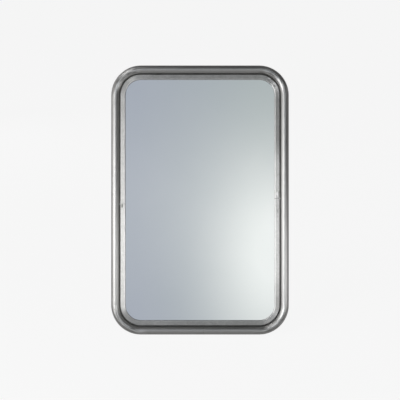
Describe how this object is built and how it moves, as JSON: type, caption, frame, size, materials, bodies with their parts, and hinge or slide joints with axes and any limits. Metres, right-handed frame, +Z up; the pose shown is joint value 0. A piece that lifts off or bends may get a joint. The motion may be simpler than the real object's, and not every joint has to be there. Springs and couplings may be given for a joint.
{
  "type": "countertop mirror",
  "caption": "Upright counter mirror: a pane in a bent steel tube frame with a formed rim, standing on a fold-out rod leg with rubber feet.",
  "frame": {"origin": "on the counter, at the centre of the footprint between the frame's bottom tube and the leg's feet", "axes": "+Z up; the mirror faces -Y and leans back 12 degrees; +X to the right as seen from the front"},
  "size_m": [0.26, 0.124, 0.3856],
  "materials": {
    "tube_steel": "burnished bare steel tube, lightly lacquered, fine lengthwise polishing marks",
    "rim_steel": "brushed bare sheet steel with a mottled, hand-dressed surface",
    "weld_steel": "ground and brushed weld metal, slightly darker",
    "hidden_steel": "plain mill-finish steel",
    "silvered_glass": "silvered float glass, clear and smooth",
    "black_tape": "matt black foam tape",
    "black_rubber": "matt black rubber",
    "grey_card": "uncoated grey card",
    "fibre_board": "dark tempered fibre board, smooth face",
    "rivet_aluminium": "dull domed rivets",
    "rivet_steel": "turned steel pin with riveted-over ends",
    "zinc_steel": "zinc-plated pressed steel, satin",
    "rod_steel": "drawn steel rod, burnished"
  },
  "bodies": {
    "mirror": {"tube_frame": "tube_steel", "tube_spigot": "hidden_steel", "tube_weld": "weld_steel", "rim_upper": "rim_steel", "rim_lower": "rim_steel", "seam_weld_left": "weld_steel", "seam_weld_right": "weld_steel", "rim_tack_welds": "weld_steel", "glazing_tape": "black_tape", "mirror_pane": "silvered_glass", "setting_blocks": "black_rubber", "backing_card": "grey_card", "back_panel": "fibre_board", "turn_button_rivets": "rivet_aluminium", "leg_bracket_left": "zinc_steel", "leg_bracket_right": "zinc_steel", "leg_pivot_pin_left": "rivet_steel", "leg_pivot_pin_right": "rivet_steel", "bracket_rivets": "rivet_aluminium", "hanger_plate": "zinc_steel", "hanger_rivets": "rivet_aluminium"},
    "turn_button_upper_right": {"turn_button_upper_right": "zinc_steel"},
    "turn_button_lower_right": {"turn_button_lower_right": "zinc_steel"},
    "turn_button_upper_left": {"turn_button_upper_left": "zinc_steel"},
    "turn_button_lower_left": {"turn_button_lower_left": "zinc_steel"},
    "turn_button_top": {"turn_button_top": "zinc_steel"},
    "turn_button_bottom": {"turn_button_bottom": "zinc_steel"},
    "leg": {"leg": "rod_steel", "foot_sleeve_left": "black_rubber", "foot_sleeve_right": "black_rubber"}
  },
  "joints": [
    {"name": "leg_hinge", "type": "hinge", "parent": "mirror", "child": "leg", "pos_m": [0, 0.00569, 0.22904], "axis": [1, 0, 0], "range_deg": [-25, 0]},
    {"name": "turn_button_upper_right_swivel", "type": "hinge", "parent": "mirror", "child": "turn_button_upper_right", "pos_m": [0.121, 0.01412, 0.2937], "axis": [0, 0.9781, -0.2079], "continuous": true},
    {"name": "turn_button_lower_right_swivel", "type": "hinge", "parent": "mirror", "child": "turn_button_lower_right", "pos_m": [0.121, -0.02954, 0.08829], "axis": [0, 0.9781, -0.2079], "continuous": true},
    {"name": "turn_button_upper_left_swivel", "type": "hinge", "parent": "mirror", "child": "turn_button_upper_left", "pos_m": [-0.121, 0.01412, 0.2937], "axis": [0, 0.9781, -0.2079], "continuous": true},
    {"name": "turn_button_lower_left_swivel", "type": "hinge", "parent": "mirror", "child": "turn_button_lower_left", "pos_m": [-0.121, -0.02954, 0.08829], "axis": [0, 0.9781, -0.2079], "continuous": true},
    {"name": "turn_button_top_swivel", "type": "hinge", "parent": "mirror", "child": "turn_button_top", "pos_m": [0, 0.03138, 0.37489], "axis": [0, 0.9781, -0.2079], "continuous": true},
    {"name": "turn_button_bottom_swivel", "type": "hinge", "parent": "mirror", "child": "turn_button_bottom", "pos_m": [0, -0.0468, 0.00711], "axis": [0, 0.9781, -0.2079], "continuous": true}
  ]
}
